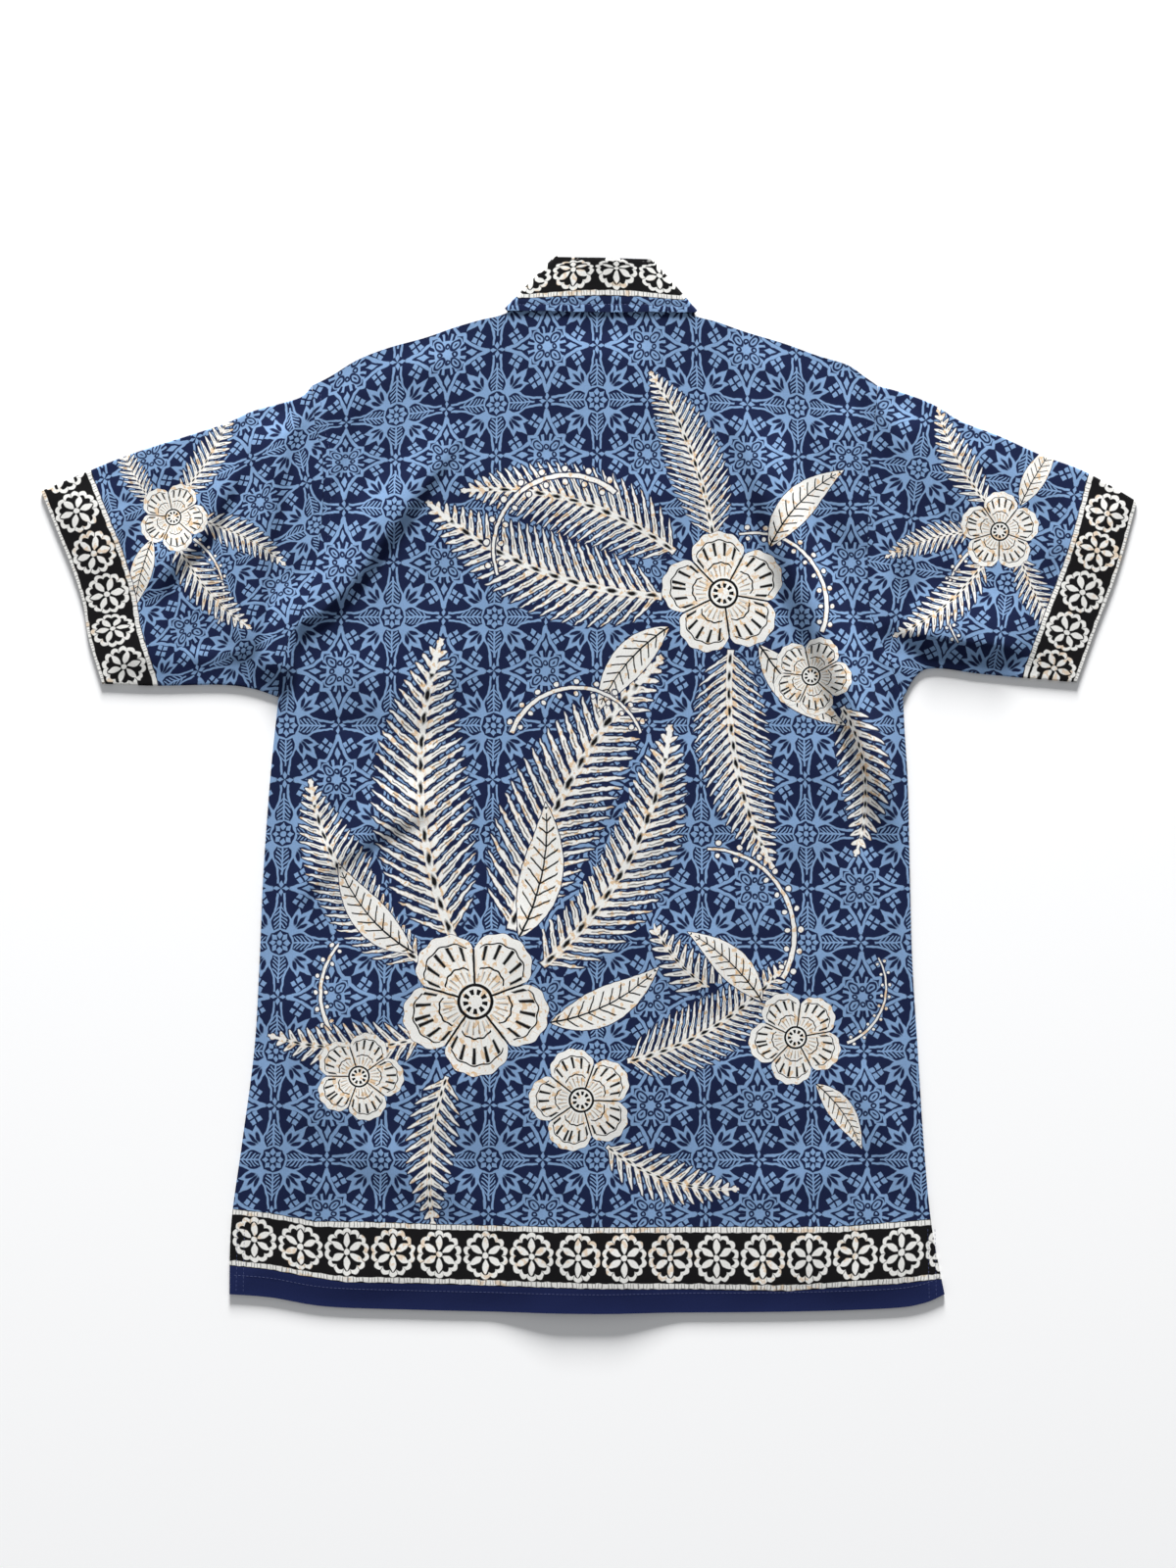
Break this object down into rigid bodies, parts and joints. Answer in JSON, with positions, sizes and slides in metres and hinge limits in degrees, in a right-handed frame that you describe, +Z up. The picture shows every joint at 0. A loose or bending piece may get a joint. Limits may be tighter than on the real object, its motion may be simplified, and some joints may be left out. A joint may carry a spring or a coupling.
{
  "type": "hawaiian shirt",
  "caption": "Short-sleeved hawaiian shirt with a batik lattice print and flower borders, laid flat with its back up and its collar turned down.",
  "frame": {"origin": "centre of the shirt's outline on the surface it lies on", "axes": "+Z up, out of the shirt's back; +Y from the hem towards the collar; +X towards the wearer's right sleeve, which is on the right as the back is seen"},
  "size_m": [0.8492, 0.8198, 0.0078],
  "materials": {
    "batik_cloth": "matt cotton, light blue lattice print on navy",
    "border_cloth": "matt cotton, ivory flower rings on black",
    "button": "satin, dark blue"
  },
  "bodies": {
    "root": {"back": "batik_cloth", "front_left": "batik_cloth", "front_right": "batik_cloth", "sleeve_left": "batik_cloth", "sleeve_right": "batik_cloth", "collar_fall": "border_cloth", "collar_stand": "batik_cloth", "button_1": "button", "button_2": "button", "button_3": "button", "button_4": "button", "button_5": "button", "button_6": "button"}
  },
  "joints": []
}
